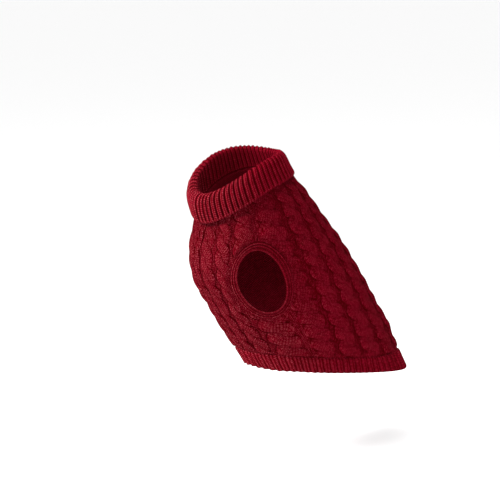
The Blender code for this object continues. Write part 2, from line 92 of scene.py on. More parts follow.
# Run between two crossings of a cable, at angles round the body.
PITCH_ANGLES = (0.0, 45.0, 66.0, 96.0, 125.0, 145.0, 180.0)
CABLE_PITCHES = (20.0, 19.5, 18.4, 18.4, 20.9, 22.0, 22.4)

# A cable's two strands, in shares of half its column and in height, and where they fade at the edges.
STRAND_SWING = 0.39
STRAND_REACH = 0.46
STRAND_HEIGHT = 2.2
STRAND_CROSSING = 0.9
STRAND_SPREAD = 0.20
PRESSED_SHARE = 0.1
NECK_FADE = (9.0, 14.0)
EDGE_FADE = (1.0, 5.0)

ARMHOLE_ANGLE = 57.7
ARMHOLE_RUN = 67.0
ARMHOLE_HALF_WIDTH = 21.8
ARMHOLE_HALF_LENGTH = 37.0
ARMHOLE_TURN = -4.3
ARMHOLE_TRIM = 8.0

# Soft folds of the cloth as the dog wears it, from one place to another.
Fold = namedtuple("Fold", "angle_a run_a angle_b run_b width rise")
FOLDS = (
    Fold(70.0, 160.0, 118.0, 196.0, 11.0, 2.0),
    Fold(30.0, 138.0, 82.0, 176.0, 8.0, -1.8),
    Fold(84.0, 84.0, 92.0, 140.0, 9.0, -1.4),
    Fold(4.0, 62.0, 34.0, 74.0, 8.0, -1.2),
    Fold(-66.0, 158.0, -124.0, 200.0, 12.0, 1.8),
    Fold(-26.0, 136.0, -86.0, 178.0, 9.0, -1.7),
    Fold(-82.0, 88.0, -96.0, 136.0, 9.0, -1.3),
    Fold(-6.0, 76.0, -36.0, 86.0, 8.0, -1.2),
    Fold(150.0, 228.0, 178.0, 236.0, 12.0, 1.5),
    Fold(-142.0, 40.0, -176.0, 52.0, 12.0, -1.2),
)

HEM_LENGTH = 23.0
HEM_DROOP = 5.0
HEM_DROOP_ANGLES = (110.0, 160.0)
HEM_LEAN = 5.0
HEM_RIBS_CHEST = 20
HEM_RIBS_BACK = 40
RIB_RISE = 1.6

# The collar's fall from its edge to its crest, and the ovals of the roll and the stand under the crest.
COLLAR_RIBS = 60
FALL_WALL = 2.1
FALL_RIB_SINK = 0.6
FALL_SECTIONS = (
    Section(0.0, -55.5, -20.0, 55.6, 27.0, 49.5, 13.0),
    Section(0.4, -59.5, -8.0, 48.8, 36.0, 50.0, 13.0),
    Section(0.75, -61.0, 2.0, 44.2, 44.3, 48.8, 13.0),
    Section(0.92, -59.5, 8.5, 40.6, 49.6, 47.3, 13.0),
    Section(1.0, -56.0, 12.0, 37.2, 52.6, 44.3, 13.0),
)
RollRing = namedtuple("RollRing", "inset lower")
ROLL_INSIDE = RollRing(3.4, 1.4)
STAND_TOP = RollRing(4.8, 5.0)
STAND_BACK_TOP = RollRing(2.6, 7.0)
FALL_INSIDE_TOP = RollRing(2.8, 1.0)

# --- What only the looks have ---

# Spacing of the points on a panel's outer side, its inner side and its edges, and the number of points
# along the armhole in each panel.
KNIT_SPACING = 0.96
PLAIN_SPACING = 5.0
EDGE_SPACING = 1.0
ARMHOLE_POINTS_BACK = 130
ARMHOLE_POINTS_CHEST = 110

# Shares of the spacing: from row to row, and from the outline to the first points on each side.
ROW_SHARE = 0.87
KNIT_MARGIN = 0.55
PLAIN_MARGIN = 0.45

# Stitches: the width of a column of stitches, on the cloth and on a rib, and the height of one.
WALE = 2.8
RIB_WALE = 5.6
COURSE = 2.2

# Depth of the stitches' bump, and the steepest slope at which a row of stitches crosses a strand.
STITCH_DEPTH = 1.1
STITCH_LEAN = 0.6

# The painted shade of a groove: how far round it the knit is looked at, the directions looked in, and the
# depth at which the shade is darkest.
RECESS_REACH = 1.4
RECESS_TURN = 45.0
RECESS_DEPTH = 0.9

# Strength of that painted shade in the middle of a column and how much more it has on the column's left side,
# painted there like a shadow of light from the left, its gain, and how much of the gain the flanks lose.
DARK_MIDDLE = 0.75
DARK_ASIDE = 0.35
DARK_GAIN = 3.0
DARK_GAIN_FLANK_LOSS = 1.2

# How much of the painted shade goes with a place's height alone, dark on low places and light on high ones,
# twice as much on the flanks and the back, and the height at which none of the shade is left.
LEVEL_SHARE = 0.152
LEVEL_HEIGHT = 1.8

# Angles from the chest line over which the chest, which the key light falls on, turns into the flanks: the
# material paints the chest with stronger shade in its grooves, more highlight and more contrast.
FLANK_ANGLES = (35.0, 90.0)

# Over the shoulder, between the collar and the armhole, the painted shade and highlight of the knit are made
# weaker; its shape is not changed.
Calm = namedtuple("Calm", "share angle width run length")
CALM = Calm(0.7, 58.0, 12.0, 18.0, 20.0)

# A painted shadow along the top of the hem seam, like the shade under cloth that blouses over the hem rib:
# where it lies, in millimetres down from the seam, and how dark it is there: on average, by how much and how
# fast that wanders, and at most.
SEAM_DARK = (-4.0, -0.5)
SEAM_MEAN = 0.45
SEAM_SWING = 0.9
SEAM_STRETCH = 2.3
SEAM_MOST = 0.9

# Small unevenness of hand-fed yarn: share of a cable's height, share of a crossing and millimetres.
CABLE_UNEVEN = 0.18
CROSSING_UNEVEN = 0.08
CLOTH_UNEVEN = 0.45

# Unevenness from rib to rib: waves, each with its size, its turn from one rib to the next and its start.
HEM_RIB_UNEVEN = ((0.12, 2.4, 0.0), (0.08, 5.1, 0.0))
COLLAR_RIB_UNEVEN = ((0.10, 2.7, 0.0), (0.06, 4.9, 0.0))
COLLAR_RIB_SHIFT = ((0.16, 0.37, 0.0), (0.10, 0.91, 1.0))

# Points across a rib, how sharp its ridge is, and how its recess, which the material turns into painted shade
# and highlight, follows its height.
RIB_STEPS = 12
RIB_SHARPNESS = 1.7
RIB_RECESS_POWER = 1.2

# The hem's rings, from its seam down the outer side, round the lower edge and back up inside, by their
# distance below the seam. Those at the seam and the edge have a height and a rise of the ribs of their own.
# The ribs start with a share of their full rise, which they reach a little way down.
HEM_SEAM_RINGS = ((-0.9, -0.9, 0.0), (0.1, -0.35, 0.3))
HEM_OUTER_RINGS = np.arange(1.0, HEM_LENGTH - 1.2, 1.2)
HEM_OUTER_HEIGHT = 0.2
HEM_EDGE_RINGS = (
    (HEM_LENGTH - 0.9, 0.1, RIB_RISE * 0.92),
    (HEM_LENGTH - 0.3, -0.3, RIB_RISE * 0.7),
    (HEM_LENGTH, -1.0, RIB_RISE * 0.35),
    (HEM_LENGTH - 0.2, -1.9, 0.0),
)
HEM_INNER_RINGS = np.arange(HEM_LENGTH - 2.0, 0.0, -3.0)
HEM_INNER_RISE = -0.2
HEM_LAST_RING = (-0.6, -WALL + 0.2, 0.0)
HEM_RIB_START = 0.45
HEM_RIB_FULL = 3.0
# Share of the ribs' painted shade and highlight that the hem gets.
HEM_RECESS = 0.15

# The collar's rings: steps between the ovals of its front, from the fall's edge over the crest to the neck
# seam, and of its back.
COLLAR_FRONT_STEPS = (9, 7, 4, 4, 4, 4, 14)
COLLAR_BEHIND_STEPS = (8, 5, 6, 8)

# Its ribs, along the cloth from the fall's edge: how far they rise on the stand and how much more on the
# fall, how far the cloth sinks between them, where they start at the edge and end at the seam, and how far
# before the crest the fall's ribs begin to fade into the stand's.
COLLAR_RIB_RISE = 1.0
FALL_RIB_EXTRA = 0.9
STAND_RIB_SINK = 1.0
EDGE_SINK = 0.7
EDGE_SINK_SPAN = (0.0, 2.0)
EDGE_RIB_SHARE = 0.3
EDGE_RIB_SPAN = (1.5, 4.0)
SEAM_RIB_SPAN = (0.0, 4.0)
CREST_SPAN = 2.0

# The stitch coordinate's step from ring to ring on the collar's inner side.
BEHIND_STEP = 3.0

# The bead along the fall's edge, where the cloth rolls; its recess gives it a painted highlight.
BEAD_PLACE = 1.6
BEAD_WIDTH = 0.9
BEAD_HEIGHT = 0.9
BEAD_RECESS = 0.5

# The armhole trim's rings, each by its distance out from the armhole's edge and its height: from the seam
# over three ridges to the edge and back inside. Then the points on a ring, and the millimetres round it.
TRIM_RINGS = (
    (ARMHOLE_TRIM + 0.9, -0.8), (ARMHOLE_TRIM - SEAM_GAP / 2, 0.1), (7.4, 0.8), (6.7, 1.3), (6.0, 0.9),
    (5.4, 0.3), (4.8, 0.8), (4.0, 1.4), (3.2, 0.9), (2.6, 0.3), (2.0, 1.0), (1.1, 1.7), (0.4, 1.1),
    (0.0, 0.0), (0.05, -1.2), (0.6, -WALL), (4.0, -WALL), (ARMHOLE_TRIM - SEAM_GAP / 2, -WALL),
    (ARMHOLE_TRIM + 0.9, -WALL + 0.3),
)
TRIM_POINTS = 240
TRIM_ROUND = 200.0

# How the trim's recess follows its height, for painted shade in its grooves and painted highlight on its
# ridges: its gain, the height that counts as level and its limits.
TRIM_RECESS_GAIN = 1.6
TRIM_LEVEL = 0.9
TRIM_RECESSES = (-0.8, 0.6)

# The strip of joined edges under a side seam, by its lines' places across the seam and their heights. It
# rises and sinks a little from stitch to stitch.
STRIP_LINES = ((-1.6, -1.2), (-0.5, -0.25), (0.5, -0.25), (1.6, -1.2))
STRIP_WAVE = 0.12
STRIP_WAVE_LENGTH = 3.0
# The strip's recess, which paints it in shade, as in the gap between the panels.
STRIP_RECESS = -0.6


def smooth_curve(t, start, end, start_slope, end_slope):
    """Points at shares t of a smooth curve between two points."""
    return ((2 * t**3 - 3 * t**2 + 1) * start + (t**3 - 2 * t**2 + t) * start_slope
            + (3 * t**2 - 2 * t**3) * end + (t**3 - t**2) * end_slope)


def smooth_columns(rows, places):
    """The columns of a section table, after its place, read at any places on smooth curves."""
    table = np.array(rows, dtype=float)
    knots, values = table[:, 0], table[:, 1:]
    slopes = np.gradient(values, knots, axis=0)
    places = np.clip(np.asarray(places, dtype=float), knots[0], knots[-1])
    left = np.clip(np.searchsorted(knots, places, side="right") - 1, 0, len(knots) - 2)
    span = (knots[left + 1] - knots[left])[..., None]
    t = (places - knots[left])[..., None] / span
    return smooth_curve(t, values[left], values[left + 1], slopes[left] * span, slopes[left + 1] * span)


def tube_point(rows, angle, place):
    """Points on a tube of tilted ovals."""
    chest_y, chest_z, back_y, back_z, half_width, side_lift = np.moveaxis(
        smooth_columns(rows, place), -1, 0)
    sine = np.sin(np.radians(angle))
    cosine = np.cos(np.radians(angle))
    bulge = (np.abs(sine)**OVAL_FULLNESS + np.abs(cosine)**OVAL_FULLNESS)**(-1.0 / OVAL_FULLNESS)
    towards_chest = cosine * bulge
    x = half_width * sine * bulge
    y = (chest_y + back_y) / 2 + (chest_y - back_y) / 2 * towards_chest
    z = (chest_z + back_z) / 2 + (chest_z - back_z) / 2 * towards_chest + side_lift * sine**2
    return np.stack([x, y, z], axis=-1)


# Lines down the body at each whole degree, and how far along the rows each point on them is.
ANGLE_LINES = np.linspace(-180.0, 180.0, 361)
PLACE_STEPS = np.linspace(0.0, 1.0, 201)


def square_row():
    """Places at which the square row crosses the angle lines, followed from the back line to the chest."""
    places, step = [SQUARE_ROW_PLACE], 0.002
    for angle in ANGLE_LINES[:0:-1][:180]:
        place = places[-1]
        round_way = tube_point(BODY_SECTIONS, angle - 1.0, place) - tube_point(BODY_SECTIONS, angle, place)
        down_way = (tube_point(BODY_SECTIONS, angle - 0.5, place + step)
                    - tube_point(BODY_SECTIONS, angle - 0.5, place - step)) / (2 * step)
        places.append(place - round_way @ down_way / (down_way @ down_way))
    return np.array(places + places[-2::-1])


def measure_runs():
    """Run at each angle line and place step; the rows run parallel to the square row."""
    points = tube_point(BODY_SECTIONS, ANGLE_LINES[:, None], PLACE_STEPS[None, :])
    steps = np.linalg.norm(np.diff(points, axis=1), axis=2)
    lengths = np.concatenate([np.zeros((len(ANGLE_LINES), 1)), np.cumsum(steps, axis=1)], axis=1)
    square = np.array([np.interp(place, PLACE_STEPS, line) for place, line in zip(square_row(), lengths)])
    return lengths - square[:, None] + square[0]


RUNS = measure_runs()
RUN_STEPS = np.arange(np.floor(RUNS.min()), np.ceil(RUNS.max()) + 1.0)
PLACES = np.array([np.interp(RUN_STEPS, line, PLACE_STEPS) for line in RUNS])


def neck_run(angle):
    """Run of the neck seam."""
    return np.interp(wrapped(angle), ANGLE_LINES, RUNS[:, 0])


def hem_run(angle):
    """Run of the hem's lower edge."""
    return np.interp(wrapped(angle), ANGLE_LINES, RUNS[:, -1])


def hem_seam_run(angle):
    """Run of the seam between the panels and the hem rib."""
    droop = HEM_DROOP * smooth_step(np.abs(wrapped(angle)), HEM_DROOP_ANGLES)
    return hem_run(angle) - HEM_LENGTH - droop


def hem_rib_angle(angle, share):
    """Angle of a hem rib at a share of the way down it: on the flanks its lower end leans to the chest."""
    sine = np.sin(np.radians(angle))
    return angle - HEM_LEAN * share * sine * np.abs(sine)


def wrapped(angle):
    """The same angle, between -180 and 180."""
    return (np.asarray(angle, dtype=float) + 180.0) % 360.0 - 180.0


def place_at(angle, run):
    """Place on the body at an angle and a run."""
    line = np.clip(wrapped(angle) - ANGLE_LINES[0], 0, len(ANGLE_LINES) - 1.001)
    step = np.clip(run - RUN_STEPS[0], 0, len(RUN_STEPS) - 1.001)
    i, j = line.astype(int), step.astype(int)
    s, t = line - i, step - j
    return ((1 - s) * ((1 - t) * PLACES[i, j] + t * PLACES[i, j + 1])
            + s * ((1 - t) * PLACES[i + 1, j] + t * PLACES[i + 1, j + 1]))


def fold_rise(angle, run):
    """How far the folds lift the cloth at a place."""
    x, y = wrapped(angle) * FLAT_MM_PER_DEGREE, run
    rise = np.zeros(np.shape(x))
    for fold in FOLDS:
        start_x, end_x = fold.angle_a * FLAT_MM_PER_DEGREE, fold.angle_b * FLAT_MM_PER_DEGREE
        way_x, way_y = end_x - start_x, fold.run_b - fold.run_a
        t = ((x - start_x) * way_x + (y - fold.run_a) * way_y) / (way_x**2 + way_y**2)
        t = np.clip(t, 0.0, 1.0)
        gap = np.hypot(x - start_x - t * way_x, y - fold.run_a - t * way_y)
        rise = rise + fold.rise * np.exp(-(gap / fold.width)**2)
    return rise


def wander(x, y, seed=0.0):
    """A smooth uneven value between about -1 and 1."""
    return (np.sin(0.071 * x + 0.031 * y + 1.7 * seed) * np.sin(0.053 * y - 0.022 * x + 2.3 * seed)
            + 0.5 * np.sin(0.151 * x - 0.093 * y + 0.9 * seed)
            + 0.35 * np.sin(0.087 * x + 0.203 * y + 4.1 * seed)) / 1.5


def body_point(angle, run, height=0.0):
    """Points at a height above the body's outer side."""
    angle, run = np.broadcast_arrays(np.asarray(angle, dtype=float), np.asarray(run, dtype=float))
    place = place_at(angle, run)
    turn, step = 0.5, 0.004
    low = np.clip(place - step, 0.0, 1.0)
    high = np.clip(place + step, 0.0, 1.0)
    base = tube_point(BODY_SECTIONS, angle, place)
    round_way = (tube_point(BODY_SECTIONS, angle + turn, place)
                 - tube_point(BODY_SECTIONS, angle - turn, place))
    down_way = tube_point(BODY_SECTIONS, angle, high) - tube_point(BODY_SECTIONS, angle, low)
    normal = np.cross(down_way, round_way)
    normal /= np.linalg.norm(normal, axis=-1, keepdims=True)
    uneven = CLOTH_UNEVEN * wander(wrapped(angle) * FLAT_MM_PER_DEGREE, run)
    uneven = uneven * np.cos(np.radians(wrapped(angle)) / 2)
    return base + normal * (height + fold_rise(angle, run) + uneven)[..., None]


# The withers on the cloth's inner side, which is the part's origin.
WITHERS_RUN = np.interp(WITHERS_PLACE, PLACE_STEPS, RUNS[-1])
ORIGIN = (tube_point(BODY_SECTIONS, 180.0, WITHERS_PLACE)
          + (body_point(180.0, WITHERS_RUN, -WALL) - body_point(180.0, WITHERS_RUN, 0.0)))


def smooth_step(value, limits):
    """0 below the first limit, 1 above the second and a smooth curve between them."""
    t = np.clip((value - limits[0]) / (limits[1] - limits[0]), 0.0, 1.0)
    return t * t * (3 - 2 * t)


# --- Cables ---


def cable_pitch(angle):
    """Run between two crossings of a cable; the knit is drawn out a little over the back."""
    return np.interp(np.abs(wrapped(angle)), PITCH_ANGLES, CABLE_PITCHES)


def channel_angles(run):
    """Angles of all the channels at some runs, from the back line round the chest to the back line."""
    left = [np.interp(run, CHANNEL_RUNS, channel) for channel in CHANNELS]
    return np.array([-angle for angle in left[::-1]] + left)


def place_across(column, angle, edges):
    """Place across a column of cable from -1 to 1, and half its width in millimetres."""
    left = np.take_along_axis(edges, column[None], axis=0)[0]
    right = np.take_along_axis(edges, column[None] + 1, axis=0)[0]
    return (2 * wrapped(angle) - left - right) / (right - left), (right - left) / 2 * FLAT_MM_PER_DEGREE


def cable_place(angle, run):
    """Column, place across it, half its width and crossings down it."""
    edges = channel_angles(run)
    column = np.clip((edges <= wrapped(angle)).sum(axis=0) - 1, 0, len(edges) - 2)
    across, half = place_across(column, angle, edges)
    middles = channel_angles(np.zeros(1))[:, 0]
    middle = (middles[:-1] + middles[1:]) / 2
    crossings = run / cable_pitch(middle[column])
    crossings = crossings + CROSSING_UNEVEN * wander(column * 37.0, run, 3.0)
    return column, across, half, crossings


def strands(across, crossings, uneven=0.0):
    """A cable's two strands at a place: height, place across the strand, and how it leans over."""
    turn = np.pi * crossings
    swing = STRAND_SWING * np.cos(turn)
    over = np.sin(turn)
    reach = STRAND_REACH * (1 + STRAND_SPREAD * np.abs(over))
    result = []
    for way in (1.0, -1.0):
        offset = (across + way * swing) / reach
        rise = (STRAND_HEIGHT + way * STRAND_CROSSING * over) * (1 + uneven)
        height = rise * np.sqrt(np.clip(1 - offset**2, 0.0, 1.0))
        result.append((height, across + way * swing, way * np.pi * STRAND_SWING * over))
    return result


def cable_height(angle, run):
    """Height of the cables above the cloth."""
    column, across, _, crossings = cable_place(angle, run)
    first, second = strands(across, crossings, CABLE_UNEVEN * wander(column * 53.0, run, 1.0))
    return np.maximum(first[0], second[0])


def cable_recess(angle, run, height):
    """How far a place lies under the knit round it, from -1 in a groove to 1 on a ridge, for painted shade
    and highlight.

    The painted shade in the grooves across a cable is darkest where a strand comes up beside the channel on
    its left, like a shadow of light from the left.
    """
    _, across, _, _ = cable_place(angle, run)
    around = np.zeros(len(angle))
    turns = np.radians(np.arange(0.0, 360.0, RECESS_TURN))
    for turn in turns:
        aside = RECESS_REACH * math.cos(turn) / FLAT_MM_PER_DEGREE
        around += cable_height(angle + aside, run + RECESS_REACH * math.sin(turn))
    flankward = flank_share(angle)
    groove = (height - around / len(turns)) / RECESS_DEPTH
    # Painted shadow: more shade on the left side of a column, less on the flanks.
    groove = groove * (DARK_MIDDLE - DARK_ASIDE * across) * (DARK_GAIN - DARK_GAIN_FLANK_LOSS * flankward)
    level = 2 * np.clip(height / LEVEL_HEIGHT, 0.0, 1.0) - 1
    calm = CALM.share * np.exp(-((np.abs(wrapped(angle)) - CALM.angle) / CALM.width)**2
                               - ((run - CALM.run) / CALM.length)**2)
    share = LEVEL_SHARE * (1 + flankward)
    return np.clip((1 - share) * groove + share * level, -1.0, 1.0) * (1 - calm)


def flank_share(angle):
    """Share of the way from the chest round to the flanks and the back; there the material paints less
    highlight and contrast than on the chest, which the key light falls on.
    """
    return smooth_step(np.abs(wrapped(angle)), FLANK_ANGLES)


# --- Armhole and panel outlines ---


def armhole_loop(offset, side, turns):
    """Places on the armhole's edge, moved out by an offset, at turns round it in degrees."""
    turn = np.radians(turns)
    lean = math.radians(ARMHOLE_TURN)
    wide, long = ARMHOLE_HALF_WIDTH + offset, ARMHOLE_HALF_LENGTH + offset
    flat_x = wide * np.sin(turn) * math.cos(lean) + long * np.cos(turn) * math.sin(lean)
    flat_y = long * np.cos(turn) * math.cos(lean) - wide * np.sin(turn) * math.sin(lean)
    return side * (ARMHOLE_ANGLE + flat_x / FLAT_MM_PER_DEGREE), ARMHOLE_RUN - flat_y


def armhole_turns_at_seam(offset):
    """Turns round the armhole at which its edge crosses the side seam, at the top and at the bottom."""
    lean = math.radians(ARMHOLE_TURN)
    along_sine = (ARMHOLE_HALF_WIDTH + offset) * math.cos(lean)
    along_cosine = (ARMHOLE_HALF_LENGTH + offset) * math.sin(lean)
    distance = (SIDE_SEAM - ARMHOLE_ANGLE) * FLAT_MM_PER_DEGREE
    middle = math.atan2(along_sine, along_cosine)
    spread = math.acos(distance / math.hypot(along_sine, along_cosine))
    return math.degrees(middle - spread), math.degrees(middle + spread)


def panel_outline(is_back):
    """Edge of a panel as places, in order round it."""
    half_gap = SEAM_GAP / 2
    gap_angle = half_gap / FLAT_MM_PER_DEGREE
    first, last = SIDE_SEAM + gap_angle, 360.0 - SIDE_SEAM - gap_angle
    if not is_back:
        first, last = -SIDE_SEAM + gap_angle, SIDE_SEAM - gap_angle
    angles = np.linspace(first, last, int((last - first) * FLAT_MM_PER_DEGREE / EDGE_SPACING))
    neck = np.stack([angles, neck_run(angles) + half_gap], axis=1)
    hem = np.stack([angles, hem_seam_run(angles) - half_gap], axis=1)[::-1]
    top, bottom = armhole_turns_at_seam(ARMHOLE_TRIM + half_gap)

    def seam(angle, start, end):
        runs = np.linspace(start, end, max(3, int(abs(end - start) / EDGE_SPACING)))[1:-1]
        return np.stack([np.full(len(runs), angle), runs], axis=1)

    def armhole_side(side, seam_angle):
        count = ARMHOLE_POINTS_BACK if is_back else ARMHOLE_POINTS_CHEST
        turns = np.linspace(top if is_back else top + 360.0, bottom, count)
        angles, runs = armhole_loop(ARMHOLE_TRIM + half_gap, side, turns)
        angles[[0, -1]] = wrapped(seam_angle)
        return np.stack([angles + (360.0 if is_back and side < 0 else 0.0), runs], axis=1)

    right_end = armhole_side(-1 if is_back else 1, last)
    left_end = armhole_side(1 if is_back else -1, first)[::-1]
    return np.concatenate([
        neck,
        seam(last, neck[-1, 1], right_end[0, 1]), right_end, seam(last, right_end[-1, 1], hem[0, 1]),
        hem,
        seam(first, hem[-1, 1], left_end[0, 1]), left_end, seam(first, left_end[-1, 1], neck[0, 1]),
    ])


def to_flat(places):
    """Places laid flat, in millimetres, with the neck at the top and seen from outside."""
    places = np.asarray(places, dtype=float)
    return np.stack([places[..., 0] * FLAT_MM_PER_DEGREE, -places[..., 1]], axis=-1)


def distance_to_outline(points, outline):
    """Distance of each flat point from a closed outline, negative outside it."""
    result = np.empty(len(points))
    start, way = outline, np.roll(outline, -1, axis=0) - outline
    rise = np.where(way[:, 1] == 0.0, 1e-9, way[:, 1])
    for part in np.array_split(np.arange(len(points)), len(points) // 4000 + 1):
        offset = points[part][:, None, :] - start[None, :, :]
        t = np.clip((offset * way).sum(-1) / (way**2).sum(-1), 0.0, 1.0)
        gaps = np.linalg.norm(offset - t[..., None] * way, axis=-1).min(axis=1)
        above = start[None, :, 1] > points[part][:, None, 1]
        crosses = above != np.roll(above, -1, axis=1)
        meets = start[:, 0] + offset[:, :, 1] * way[:, 0] / rise
        inside = (crosses & (points[part][:, None, 0] < meets)).sum(axis=1) % 2 == 1
        result[part] = np.where(inside, gaps, -gaps)
    return result


def points_inside(outline, spacing, margin):
    """Evenly spaced places inside an outline, and their distances from it in millimetres."""
    flat_outline = to_flat(outline)
    low, high = flat_outline.min(axis=0), flat_outline.max(axis=0)
    rows = np.arange(low[1] + spacing / 2, high[1], spacing * ROW_SHARE)
    row = np.arange(low[0], high[0], spacing)
    x, y = np.meshgrid(row, rows)
    x = x + (np.arange(len(rows)) % 2)[:, None] * spacing / 2
    flat = np.stack([x.ravel(), y.ravel()], axis=1)
    gaps = distance_to_outline(flat, flat_outline)
    kept = gaps > margin
    flat = flat[kept]
    return np.stack([flat[:, 0] / FLAT_MM_PER_DEGREE, -flat[:, 1]], axis=1), gaps[kept]


def fill_outline(outline, inner_points):
    """Triangles over an outline and the points inside it."""
    points = [tuple(p) for p in to_flat(outline)] + [tuple(p) for p in to_flat(inner_points)]
    count = len(outline)
    edges = [(i, (i + 1) % count) for i in range(count)]
    _, _, faces, origins, _, _ = delaunay_2d_cdt(points, edges, [], 1, 1e-5)
    return np.array([[origins[v][0] for v in face] for face in faces])


# --- Meshes ---


def make_piece(name, points, faces, stitch, recess, flankward, materials, face_materials=None):
    """A mesh piece in metres; stitch has the stitch coordinates of every face corner, in millimetres."""
    mesh = bpy.data.meshes.new(name)
    points = (np.asarray(points) - ORIGIN) * MM
    faces = np.asarray(faces)
    mesh.vertices.add(len(points))
    mesh.vertices.foreach_set("co", points.astype(np.float32).ravel())
    mesh.loops.add(faces.size)
    mesh.loops.foreach_set("vertex_index", faces.astype(np.int32).ravel())
    mesh.polygons.add(len(faces))
    sides = faces.shape[1]
    mesh.polygons.foreach_set("loop_start", np.arange(0, faces.size, sides, dtype=np.int32))
    mesh.polygons.foreach_set("loop_total", np.full(len(faces), sides, dtype=np.int32))
    for material in materials:
        mesh.materials.append(material)
    if face_materials is not None:
        mesh.polygons.foreach_set("material_index", np.asarray(face_materials, dtype=np.int32))
    layer = mesh.uv_layers.new(name="stitch")
    layer.data.foreach_set("uv", np.asarray(stitch, dtype=np.float32).ravel())
    for title, values in (("recess", recess), ("flank_share", flankward)):
        layer = mesh.attributes.new(title, "FLOAT", "POINT")
        layer.data.foreach_set("value", np.asarray(values, dtype=np.float32).ravel())
    mesh.update(calc_edges=True)
    mesh.shade_smooth()
    return add_thing(name, mesh)


def seat_piece(piece, node):
    """The piece rides on the one body and takes the place of its node, if it has one, which is hidden."""
    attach(piece, "root")
    if node:
        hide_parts(node)


def strand_stitches(places, faces):
    """Stitch coordinates of the corners of a panel's outer faces: they follow the strand on top."""
    corners = places[faces]
    middle = corners.mean(axis=1)
    column, across, half, crossings = cable_place(*middle.T)
    first, second = strands(across, crossings)
    angle, run = corners.reshape(-1, 2).T
    there, _ = place_across(np.repeat(column, 3), angle, channel_angles(run))
    widths = np.repeat(half, 3)
    pitch = np.repeat(middle[:, 1] / crossings, 3)
    there_first, there_second = strands(there, run / pitch)
    on_first = np.repeat(first[0] >= second[0], 3)
    bare = np.repeat(np.maximum(first[0], second[0]) <= 0.0, 3)
    u = np.where(bare, there, np.where(on_first, there_first[1], there_second[1])) * widths
    lean = np.where(bare, 0.0, np.where(on_first, there_first[2], there_second[2])) * widths / pitch
    return np.stack([u, run + np.clip(lean, -STITCH_LEAN, STITCH_LEAN) * u], axis=1)


def make_panel(name, is_back, materials):
    """A cable-knit panel: cabled outer side, plain inner side and the edges between them.

    Returns the piece, and the width, length and area of its cut in metres.
    """
    outline = panel_outline(is_back)
    places, gaps = points_inside(outline, KNIT_SPACING, KNIT_SPACING * KNIT_MARGIN)
    knit = cable_height(*places.T)
    free = smooth_step(places[:, 1] - neck_run(places[:, 0]), NECK_FADE)
    heights = knit * smooth_step(gaps, EDGE_FADE) * (PRESSED_SHARE + (1 - PRESSED_SHARE) * free)
    plain, _ = points_inside(outline, PLAIN_SPACING, PLAIN_SPACING * PLAIN_MARGIN)
    count = len(outline)
    outer_places = np.concatenate([outline, places])
    inner_places = np.concatenate([outline, plain])
    outer = body_point(*outer_places.T, np.concatenate([np.zeros(count), heights]))
    inner = body_point(*inner_places.T, -WALL)
    outer_faces = fill_outline(outline, places)
    inner_faces = fill_outline(outline, plain)
    i = np.arange(count)
    j = (i + 1) % count
    start = len(outer)
    walls = np.concatenate([np.stack([i, j, start + j], axis=1), np.stack([i, start + j, start + i], axis=1)])
    faces = np.concatenate([outer_faces, start + inner_faces[:, ::-1], walls])
    everywhere = to_flat(np.concatenate([outer_places, inner_places]))
    stitch = np.concatenate([
        strand_stitches(outer_places, outer_faces),
        everywhere[faces[len(outer_faces):]].reshape(-1, 2),
    ])
    face_materials = np.repeat([0, 1, 0], [len(outer_faces), len(inner_faces), len(walls)])
    recess = np.zeros(len(outer) + len(inner))
    # Painted shadow above the hem seam, taken off the recess so that the material darkens it.
    seam_shadow = smooth_step(places[:, 1] - hem_seam_run(places[:, 0]), SEAM_DARK)
    depth = SEAM_MEAN + SEAM_SWING * wander(places[:, 0] * SEAM_STRETCH, 0.0, 2.0)
    seam_shadow = seam_shadow * np.clip(depth, 0.0, SEAM_MOST)
    recess[count:len(outer)] = cable_recess(*places.T, knit) * smooth_step(gaps, EDGE_FADE) - seam_shadow
    points = np.concatenate([outer, inner])
    flankward = flank_share(np.concatenate([outer_places, inner_places])[:, 0])
    piece = make_piece(name, points, faces, stitch, recess, flankward, materials, face_materials)
    flat = to_flat(outline)
    size = (flat.max(axis=0) - flat.min(axis=0)) * MM
    following = np.roll(flat, -1, axis=0)
    area = abs((flat[:, 0] * following[:, 1] - flat[:, 1] * following[:, 0]).sum()) / 2 * MM**2
    return piece, tuple(size), area


def grid_faces(rings, around):
    """Quads of a grid of rings that closes both ways."""
    i, j = np.meshgrid(np.arange(rings), np.arange(around), indexing="ij")
    i_next, j_next = (i + 1) % rings, (j + 1) % around
    quads = [i * around + j, i_next * around + j, i_next * around + j_next, i * around + j_next]
    return np.stack(quads, axis=-1).reshape(-1, 4)


def make_tube(name, rings, round_mm, along_mm, recess, flankward, material, flip=False):
    """A closed band from rings of points; its stitch coordinates are given for each ring and each point."""
    rings = np.asarray(rings)
    count, around = rings.shape[:2]
    faces = grid_faces(count, around)
    u = np.broadcast_to(np.append(round_mm, 2 * round_mm[-1] - round_mm[-2]), (count + 1, around + 1))
    v = np.broadcast_to(np.append(along_mm, along_mm[-1] + 1.0)[:, None], (count + 1, around + 1))
    i, j = np.meshgrid(np.arange(count), np.arange(around), indexing="ij")
    corners = [(i, j), (i + 1, j), (i + 1, j + 1), (i, j + 1)]
    stitch = np.stack([np.stack([u[c], v[c]], axis=-1) for c in corners], axis=-2).reshape(-1, 4, 2)
    if flip:
        faces, stitch = faces[:, ::-1], stitch[:, ::-1]
    recess = np.broadcast_to(recess, (count, around))
    flankward = np.broadcast_to(flankward, (count, around))
    return make_piece(name, rings.reshape(-1, 3), faces, stitch.reshape(-1, 2), recess, flankward, [material])


# --- Ribs ---


def rib_ridge(phase):
    """Height of a rib from 0 to 1 at a phase in ribs: a rounded ridge with a groove on each side."""
    return np.abs(np.cos(np.pi * (phase + 0.5)))**RIB_SHARPNESS


